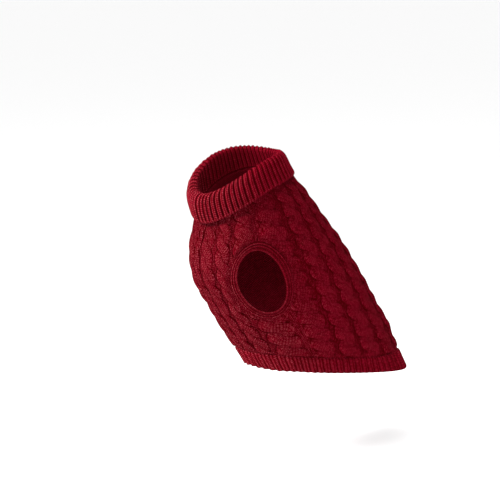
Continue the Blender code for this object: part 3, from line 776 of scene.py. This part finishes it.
def rib_recess(ridge):
    """Recess of a rib, from -1 in its groove to 1 on its ridge, for painted shade in the groove and painted
    highlight on the ridge.
    """
    return 2 * ridge**RIB_RECESS_POWER - 1


def waves(kind, phase):
    """Sum of a kind's waves at a phase in ribs."""
    return sum(size * np.sin(phase * turn + start) for size, turn, start in kind)


def rib_angles(start, end, ribs):
    """Angles of the rib edges along the hem seam, an equal distance apart."""
    angles = np.linspace(start, end, 721)
    points = body_point(angles, hem_seam_run(angles))
    lengths = np.concatenate([[0.0], np.cumsum(np.linalg.norm(np.diff(points, axis=0), axis=1))])
    return np.interp(np.linspace(0.0, lengths[-1], ribs + 1), lengths, angles)


def make_hem(material):
    """Ribbed band; the stitches of its ribs run on from the panels."""
    chest = rib_angles(-SIDE_SEAM, SIDE_SEAM, HEM_RIBS_CHEST)
    back = rib_angles(SIDE_SEAM, 360.0 - SIDE_SEAM, HEM_RIBS_BACK)
    edges = np.concatenate([chest[:-1], back])
    ribs = len(edges) - 1
    phase = np.arange(ribs * RIB_STEPS) / RIB_STEPS
    angles = np.interp(phase, np.arange(ribs + 1), edges)
    ridge = rib_ridge(phase)
    uneven = waves(HEM_RIB_UNEVEN, np.floor(phase))
    table = list(HEM_SEAM_RINGS)
    for from_seam in HEM_OUTER_RINGS:
        full = min(1.0, HEM_RIB_START + (1 - HEM_RIB_START) * from_seam / HEM_RIB_FULL)
        table.append((from_seam, HEM_OUTER_HEIGHT, RIB_RISE * full))
    table += HEM_EDGE_RINGS
    table += [(from_seam, -WALL, HEM_INNER_RISE) for from_seam in HEM_INNER_RINGS]
    table.append(HEM_LAST_RING)
    rings, along, recess = [], [], []
    for from_seam, height, rise in table:
        share = from_seam / HEM_LENGTH
        leaned = hem_rib_angle(angles, max(share, 0.0))
        run = hem_seam_run(leaned) * (1 - share) + hem_run(leaned) * share
        rings.append(body_point(leaned, run, height + rise * (1 + uneven) * ridge))
        along.append(from_seam)
        recess.append(HEM_RECESS * rib_recess(ridge) * min(1.0, rise / RIB_RISE))
    return make_tube("knit_hem_band", rings, (phase + 0.5) * RIB_WALE, along, recess, flank_share(angles),
                     material)


def oval(row, inset, lower, angles):
    """Ring of a section table's row, shrunk by an inset and moved down."""
    chest = np.array([row.chest_y, row.chest_z])
    back = np.array([row.back_y, row.back_z])
    along = (back - chest) / np.linalg.norm(back - chest)
    up = np.array([-along[1], along[0]])
    low = chest + along * inset - up * lower
    high = back - along * inset - up * lower
    changed = Section(0.0, *low, *high, row.half_width - inset, row.side_lift)
    return tube_point([changed, changed._replace(place=1.0)], angles, np.zeros(len(angles)))


def smooth_through(rings, steps):
    """Rings on smooth curves through rings, with a number of steps between each two."""
    rings = np.asarray(rings)
    before = np.concatenate([2 * rings[:1] - rings[1:2], rings[:-1]])
    after = np.concatenate([rings[1:], 2 * rings[-1:] - rings[-2:-1]])
    result = []
    for k in range(len(rings) - 1):
        a, b = rings[k], rings[k + 1]
        for t in np.arange(steps[k]) / steps[k]:
            result.append(smooth_curve(t, a, b, (b - before[k]) / 2, (after[k + 1] - a) / 2))
    result.append(rings[-1])
    return np.array(result)


def outward(rings):
    """Unit normals of a band of rings."""
    down = np.gradient(rings, axis=0)
    round_way = np.roll(rings, -1, axis=1) - np.roll(rings, 1, axis=1)
    normal = np.cross(round_way, down)
    return normal / np.maximum(np.linalg.norm(normal, axis=-1, keepdims=True), 1e-9)


def make_collar(material):
    """Fall, fold and stand of the collar, one folded ribbed cloth."""
    phase = np.arange(COLLAR_RIBS * RIB_STEPS) / RIB_STEPS
    angles = (phase + waves(COLLAR_RIB_SHIFT, phase)) * 360.0 / COLLAR_RIBS
    edge, lower, upper, _, crest = FALL_SECTIONS
    seam = BODY_SECTIONS[0]
    front = smooth_through([
        *[oval(row, 0.0, 0.0, angles) for row in FALL_SECTIONS], oval(crest, *ROLL_INSIDE, angles),
        oval(crest, *STAND_TOP, angles), oval(seam, WALL, -SEAM_GAP / 2, angles),
    ], COLLAR_FRONT_STEPS)
    behind = smooth_through([
        oval(seam, 0.0, -SEAM_GAP / 2, angles), oval(crest, *STAND_BACK_TOP, angles),
        oval(upper, *FALL_INSIDE_TOP, angles), oval(lower, FALL_WALL, 0.0, angles),
        oval(edge, FALL_WALL, 0.0, angles),
    ], COLLAR_BEHIND_STEPS)
    ridge = rib_ridge(phase)
    uneven = 1 + waves(COLLAR_RIB_UNEVEN, np.floor(phase))
    lengths = np.concatenate([[0.0], np.cumsum(np.linalg.norm(np.diff(front[:, 0], axis=0), axis=1))])
    shoulder_at, roll_at = sum(COLLAR_FRONT_STEPS[:3]), sum(COLLAR_FRONT_STEPS[:5])
    fall_share = 1 - smooth_step(lengths, (lengths[shoulder_at] - CREST_SPAN, lengths[roll_at]))
    edge_share = EDGE_RIB_SHARE + (1 - EDGE_RIB_SHARE) * smooth_step(lengths, EDGE_RIB_SPAN)
    bead = np.exp(-((lengths - BEAD_PLACE) / BEAD_WIDTH)**2)
    rise = (COLLAR_RIB_RISE + FALL_RIB_EXTRA * fall_share) * edge_share
    sink = FALL_RIB_SINK * fall_share + STAND_RIB_SINK * (1 - fall_share)
    sink = sink + (1 - smooth_step(lengths, EDGE_SINK_SPAN)) * EDGE_SINK
    seam_share = smooth_step(lengths[-1] - lengths, SEAM_RIB_SPAN)
    heights = rise[:, None] * ridge[None] * uneven[None] + (BEAD_HEIGHT * bead - sink)[:, None]
    heights = heights * seam_share[:, None]
    rings = np.concatenate([front + outward(front) * heights[..., None], behind])
    along = np.concatenate([lengths, lengths[-1] + BEHIND_STEP * np.arange(1.0, len(behind) + 1.0)])
    recess = np.zeros(rings.shape[:2])
    recess[:len(front)] = (rib_recess(ridge)[None] * (edge_share * seam_share)[:, None]
                           + BEAD_RECESS * bead[:, None])
    return make_tube("knit_collar", rings, (phase + 0.5) * RIB_WALE, along, recess, flank_share(angles), material,
                     flip=True)


def make_armhole_band(name, side, material):
    """Linked-on trim round an armhole, with ridges that follow its edge."""
    turns = np.linspace(0.0, 360.0, TRIM_POINTS, endpoint=False)
    rings = []
    for offset, height in TRIM_RINGS:
        angles, runs = armhole_loop(offset, side, turns)
        rings.append(body_point(angles, runs, height))
    offsets, heights = np.array(TRIM_RINGS).T
    recess = np.clip(TRIM_RECESS_GAIN * (heights - TRIM_LEVEL), *TRIM_RECESSES)
    return make_tube(name, rings, turns / 360.0 * TRIM_ROUND, offsets, recess[:, None], flank_share(angles),
                     material, flip=side > 0)


def make_seam(name, side, material):
    """The joined edges under a side seam, just below the panels' outer sides."""
    top, bottom = armhole_turns_at_seam(ARMHOLE_TRIM)
    upper_end = armhole_loop(ARMHOLE_TRIM, 1, top)[1]
    lower_start = armhole_loop(ARMHOLE_TRIM, 1, bottom)[1]
    points, faces, stitch = [], [], []
    count = len(STRIP_LINES)
    for low, high in ((neck_run(SIDE_SEAM), upper_end), (lower_start, hem_seam_run(SIDE_SEAM))):
        runs = np.arange(low, high, EDGE_SPACING)
        first = len(points)
        for run in runs:
            wave = STRIP_WAVE * math.sin(run * 2 * math.pi / STRIP_WAVE_LENGTH)
            for aside, height in STRIP_LINES:
                points.append(body_point(side * SIDE_SEAM + aside / FLAT_MM_PER_DEGREE, run, height + wave))
        for row in range(len(runs) - 1):
            for k in range(count - 1):
                a = first + row * count + k
                faces.append([a, a + count, a + count + 1, a + 1])
                stitch += [(k / 2, row)] * 4
    return make_piece(name, points, faces, stitch, np.full(len(points), STRIP_RECESS), np.ones(len(points)),
                      [material])


# --- Materials ---

# Dyed yarn, in lit and shaded tones: its deep tone between the stitches, painted shade, its light tone on top
# of them, painted highlight, the pale of its loose fibres, which also paints highlight, and the painted shade
# at the bottom of a groove.
DEEP = (0.072, 0.0001, 0.0014)
LIGHT = (0.215, 0.0012, 0.0130)
FUZZ_AND_HIGHLIGHT = (0.440, 0.0800, 0.0900)
GROOVE = (0.030, 0.0001, 0.0008)
ROUGHNESS = 0.9
SHINE = 0.005

# Noises in the cloth, in waves to a metre.
Noise = namedtuple("Noise", "scale detail")
PLACE_NOISE = Noise(260.0, 1.0)
FIBRE_NOISE = Noise(2600.0, 3.0)
YARN_NOISE = Noise(700.0, 2.0)
CLOTH_NOISE = Noise(55.0, 2.0)
FLUFF_NOISE = Noise(1500.0, 1.0)

# What goes in from low to high comes out from new_low to new_high. Those by flank go in as 0 on the chest and
# 1 on the flanks and the back, and those by recess as -1 in a groove and 1 on a ridge; through most of them
# the material paints shade in the grooves and highlight on the ridges, strongest on the chest.
Span = namedtuple("Span", "low high new_low new_high")
PLACE_SPAN = Span(0.0, 1.0, -0.15, 0.15)
YARN_SPAN = Span(0.32, 0.68, 0.7, 1.3)
CLOTH_SPAN = Span(0.3, 0.7, 0.82, 1.18)
LUCK_BY_FLANK = Span(0.0, 1.0, 0.6, 1.1)
GROOVE_TONE_BY_FLANK = Span(0.0, 1.0, 0.42, 0.28)
CONTRAST_BY_FLANK = Span(0.0, 1.0, 2.2, 1.3)
FLUFF_SPAN = Span(0.40, 0.62, 0.3, 1.0)
FLUFF_BY_STITCH = Span(0.45, 0.95, 0.0, 1.0)
FLUFF_BY_FLANK = Span(0.0, 1.0, 1.15, 0.3)
FLUFF_BY_RECESS = Span(-0.6, 0.5, 0.2, 1.1)
SHADE_BY_RECESS = Span(-0.9, -0.1, 0.9, 0.0)
SHADE_BY_FLANK = Span(0.0, 1.0, 1.0, 0.4)

# Stitches: how far the middle of a V hangs below its ends, in stitches, how sharp the legs and the loops
# are, the fibres' share of the bump, and how high the legs of a purl bump stand.
V_DROP = 0.75
STITCH_SHARPNESS = 0.8
FIBRE_SHARE = 0.35
PURL_LEG = 0.4

# Tone: a leg's mean, the middle that contrast goes from, and a ridge's painted highlight, with the recesses
# it changes between, from the painted shade of a groove.
MEAN_LUCK = 1.2
MIDDLE_TONE = 0.6
RIDGE_TONE = 1.15
TONE_RECESSES = (-0.8, 0.5)

# Pale fibres on the legs above a chance, from least to most, which lively yarn draws apart; the same pale
# colour also paints highlight on the ridges and on the chest.
Fluff = namedtuple("Fluff", "chance least least_lost most most_gained")
FLUFF = Fluff(0.3, 0.45, 0.2, 0.6, 0.3)


class Nodes:
    """Short ways to add and join shader nodes."""

    def __init__(self, material):
        self.tree = material.node_tree

    def add(self, kind, **settings):
        node = self.tree.nodes.new(kind)
        for name, value in settings.items():
            setattr(node, name, value)
        return node

    def join(self, value, socket):
        if isinstance(value, bpy.types.NodeSocket):
            self.tree.links.new(value, socket)
        else:
            socket.default_value = value

    def math(self, operation, a, b=0.0):
        node = self.add("ShaderNodeMath", operation=operation)
        self.join(a, node.inputs[0])
        self.join(b, node.inputs[1])
        return node.outputs[0]

    def noise(self, vector, scale, detail):
        node = self.add("ShaderNodeTexNoise")
        self.join(vector, node.inputs["Vector"])
        node.inputs["Scale"].default_value = scale
        node.inputs["Detail"].default_value = detail
        return node.outputs["Fac"]

    def mix(self, share, first, second):
        node = self.add("ShaderNodeMix", data_type="RGBA")
        node.clamp_factor = True
        self.join(share, node.inputs["Factor"])
        for colour, socket in ((first, node.inputs[6]), (second, node.inputs[7])):
            self.join((*colour, 1.0) if isinstance(colour, tuple) else colour, socket)
        return node.outputs[2]

    def span(self, value, low, high, new_low, new_high):
        node = self.add("ShaderNodeMapRange")
        names = ("Value", "From Min", "From Max", "To Min", "To Max")
        for name, number in zip(names, (value, low, high, new_low, new_high)):
            self.join(number, node.inputs[name])
        return node.outputs["Result"]

    def times(self, first, *others):
        for other in others:
            first = self.math("MULTIPLY", first, other)
        return first


def knit_material(name, wale, course, share=1.0, lively=1.0, purl=False):
    """Yarn in V-shaped stitches, or in the purl bumps of the reverse side; lively is how uneven they are."""
    material = bpy.data.materials.new(name)
    material.use_nodes = True
    nodes = Nodes(material)
    shader = material.node_tree.nodes["Principled BSDF"]
    uv = nodes.add("ShaderNodeUVMap", uv_map="stitch")
    split = nodes.add("ShaderNodeSeparateXYZ")
    nodes.join(uv.outputs["UV"], split.inputs[0])
    place = nodes.add("ShaderNodeTexCoord").outputs["Object"]
    # Height: side goes from 0 in the middle of a column of stitches to 1 at its edges.
    uneven = nodes.span(nodes.noise(place, *PLACE_NOISE), *PLACE_SPAN)
    across = nodes.math("ADD", nodes.math("DIVIDE", split.outputs["X"], wale), uneven)
    along = nodes.math("ADD", nodes.math("DIVIDE", split.outputs["Y"], course), uneven)
    whole = nodes.math("ADD", across, 0.5)
    side = nodes.math("ABSOLUTE", nodes.math("SUBTRACT", nodes.math("FRACT", whole), 0.5))
    side = nodes.times(side, 2.0)
    rows = nodes.math("ADD", along, nodes.times(side, 0.0 if purl else V_DROP))
    leg = nodes.math("SINE", nodes.times(side, math.pi))
    loop = nodes.math("SINE", nodes.times(nodes.math("FRACT", rows), math.pi))
    if purl:
        leg = nodes.math("ADD", nodes.times(leg, PURL_LEG), 1 - PURL_LEG)
    stitch = nodes.times(nodes.math("POWER", leg, STITCH_SHARPNESS),
                         nodes.math("POWER", loop, STITCH_SHARPNESS))
    fibre = nodes.noise(place, *FIBRE_NOISE)
    bump = nodes.add("ShaderNodeBump")
    bump.inputs["Strength"].default_value = 1.0
    bump.inputs["Distance"].default_value = STITCH_DEPTH * MM
    nodes.join(nodes.math("ADD", stitch, nodes.times(fibre, FIBRE_SHARE)), bump.inputs["Height"])
    nodes.join(bump.outputs["Normal"], shader.inputs["Normal"])
    # Tone: painted shade, deep between the stitches and in the grooves, and painted highlight on the stitch
    # tops and ridges, with more contrast on the chest, which the key light falls on; uneven from leg to leg
    # at random, and over the cloth in random patches that also stand in for the soft shade of small creases.
    cell = nodes.add("ShaderNodeCombineXYZ")
    nodes.join(nodes.math("FLOOR", nodes.times(whole, 2.0)), cell.inputs[0])
    nodes.join(nodes.math("FLOOR", rows), cell.inputs[1])
    chance = nodes.add("ShaderNodeTexWhiteNoise", noise_dimensions="3D")
    nodes.join(cell.outputs[0], chance.inputs["Vector"])
    chance = chance.outputs["Value"]
    recess = nodes.add("ShaderNodeAttribute", attribute_name="recess").outputs["Fac"]
    flankward = nodes.add("ShaderNodeAttribute", attribute_name="flank_share").outputs["Fac"]
    luck = nodes.times(nodes.math("SUBTRACT", chance, 0.5), nodes.span(flankward, *LUCK_BY_FLANK), lively)
    tone = nodes.times(stitch, nodes.math("ADD", luck, MEAN_LUCK),
                       nodes.span(nodes.noise(place, *YARN_NOISE), *YARN_SPAN),
                       nodes.span(nodes.noise(place, *CLOTH_NOISE), *CLOTH_SPAN),
                       nodes.span(recess, *TONE_RECESSES, nodes.span(flankward, *GROOVE_TONE_BY_FLANK), RIDGE_TONE))
    tone = nodes.times(nodes.math("SUBTRACT", tone, MIDDLE_TONE), nodes.span(flankward, *CONTRAST_BY_FLANK))
    tone = nodes.math("ADD", tone, MIDDLE_TONE)
    deep, light, fuzz_and_highlight = (tuple(share * c for c in colour) for colour in (DEEP, LIGHT, FUZZ_AND_HIGHLIGHT))
    least, most = FLUFF.least - FLUFF.least_lost * lively, FLUFF.most + FLUFF.most_gained * lively
    # Pale fibres at random, and painted highlight on the stitch tops and ridges, most on the chest, which the
    # key light falls on.
    fluff_and_highlight = nodes.times(nodes.span(chance, FLUFF.chance, 1.0, least, most),
                        nodes.span(nodes.noise(place, *FLUFF_NOISE), *FLUFF_SPAN),
                        nodes.span(stitch, *FLUFF_BY_STITCH), nodes.span(flankward, *FLUFF_BY_FLANK),
                        nodes.span(recess, *FLUFF_BY_RECESS))
    dyed = nodes.mix(fluff_and_highlight, nodes.mix(tone, deep, light), fuzz_and_highlight)
    # Painted shade: the grooves are mixed towards the groove colour, most on the chest.
    shaded = nodes.times(nodes.span(recess, *SHADE_BY_RECESS), nodes.span(flankward, *SHADE_BY_FLANK))
    nodes.join(nodes.mix(shaded, dyed, GROOVE), shader.inputs["Base Color"])
    shader.inputs["Roughness"].default_value = ROUGHNESS
    shader.inputs["Specular IOR Level"].default_value = SHINE
    return material


def plain_material(name, colour, roughness):
    """A material of one colour, for the floor."""
    material = bpy.data.materials.new(name)
    material.use_nodes = True
    shader = material.node_tree.nodes["Principled BSDF"]
    shader.inputs["Base Color"].default_value = (*colour, 1.0)
    shader.inputs["Roughness"].default_value = roughness
    return material


# --- Camera, floor and light ---

# In degrees and metres, apart from the sensor and the place the camera looks at, in millimetres.
CAMERA_AZIMUTH = 55.0
CAMERA_ELEVATION = 11.0
CAMERA_DISTANCE = 1.9
VIEW_WIDTH = 0.540
SENSOR_WIDTH = 36.0
AIM = Vector((0.0, 8.5, -55.7))
FLOOR_Z = -0.308
FLOOR_REACH = 40.0
FLOOR_COLOUR = (0.95, 0.95, 0.95)

# Area lights, in metres from the sweater: to the camera's right, towards the camera and up.
Lamp = namedtuple("Lamp", "name right forward up size energy")
LAMPS = (Lamp("key_light", -0.92, 0.36, 0.64, 0.46, 27.0), Lamp("top_light", 0.0, 0.4, 1.5, 1.0, 11.0))


def add_thing(name, data):
    """A new object in the scene."""
    thing = bpy.data.objects.new(name, data)
    bpy.context.scene.collection.objects.link(thing)
    return thing


def aim(thing, place, target):
    """Put a camera or a light at a place, turned to a target."""
    thing.location = place
    thing.rotation_euler = (place - target).to_track_quat("Z", "Y").to_euler()


def add_studio():
    """The camera at the photo's view, a pale floor, two soft lights and a white world."""
    target = (AIM - Vector(ORIGIN)) * MM
    azimuth, elevation = math.radians(CAMERA_AZIMUTH), math.radians(CAMERA_ELEVATION)
    forward = Vector((math.sin(azimuth) * math.cos(elevation), -math.cos(azimuth) * math.cos(elevation),
                      math.sin(elevation)))
    right = Vector((math.cos(azimuth), math.sin(azimuth), 0.0))
    up = Vector((0.0, 0.0, 1.0))
    camera = bpy.data.cameras.new("camera")
    camera.sensor_width = SENSOR_WIDTH
    camera.lens = SENSOR_WIDTH * CAMERA_DISTANCE / VIEW_WIDTH
    viewer = add_thing("camera", camera)
    aim(viewer, target + forward * CAMERA_DISTANCE, target)
    bpy.context.scene.camera = viewer

    mesh = bpy.data.meshes.new("floor")
    corners = [(FLOOR_REACH * x, FLOOR_REACH * y, FLOOR_Z) for x, y in ((-1, -1), (1, -1), (1, 1), (-1, 1))]
    mesh.from_pydata(corners, [], [(0, 1, 2, 3)])
    mesh.materials.append(plain_material("pale_floor", FLOOR_COLOUR, ROUGHNESS))
    add_thing("floor", mesh)

    for lamp in LAMPS:
        light = bpy.data.lights.new(lamp.name, "AREA")
        light.energy = lamp.energy
        light.size = lamp.size
        place = target + right * lamp.right + forward * lamp.forward + up * lamp.up
        aim(add_thing(lamp.name, light), place, target)
    world = bpy.data.worlds.new("studio")
    world.use_nodes = True
    background = world.node_tree.nodes["Background"]
    background.inputs["Color"].default_value = (1.0, 1.0, 1.0, 1.0)
    background.inputs["Strength"].default_value = 1.0
    bpy.context.scene.world = world
    bpy.context.scene.view_settings.view_transform = "Standard"


# --- The sweater ---


def make_sweater():
    """All the pieces, each in place of its node where it has one; the panels' cuts are measured and not used.
    """
    outside = knit_material("cable_knit", WALE, COURSE, lively=1.25)
    inside = knit_material("knit_reverse", WALE, COURSE, share=0.8, lively=0.5, purl=True)
    ribbed = knit_material("rib_knit", RIB_WALE, COURSE, lively=0.5)
    trimmed = knit_material("trim_knit", WALE, COURSE, lively=1.0)
    for name, node, is_back in (("knit_back", "back_panel", True), ("knit_chest", "chest_panel", False)):
        piece, flat, area = make_panel(name, is_back, [outside, inside])
        seat_piece(piece, node)
    collar = make_collar(ribbed)
    seat_piece(collar, "collar")
    hem = make_hem(ribbed)
    seat_piece(hem, "hem_band")
    for side, word in ((1, "left"), (-1, "right")):
        band = make_armhole_band(f"knit_armhole_{word}", side, trimmed)
        seat_piece(band, f"armhole_band_{word}")
        seam = make_seam(f"side_seam_{word}", side, trimmed)
        seat_piece(seam, None)


make_sweater()
add_studio()
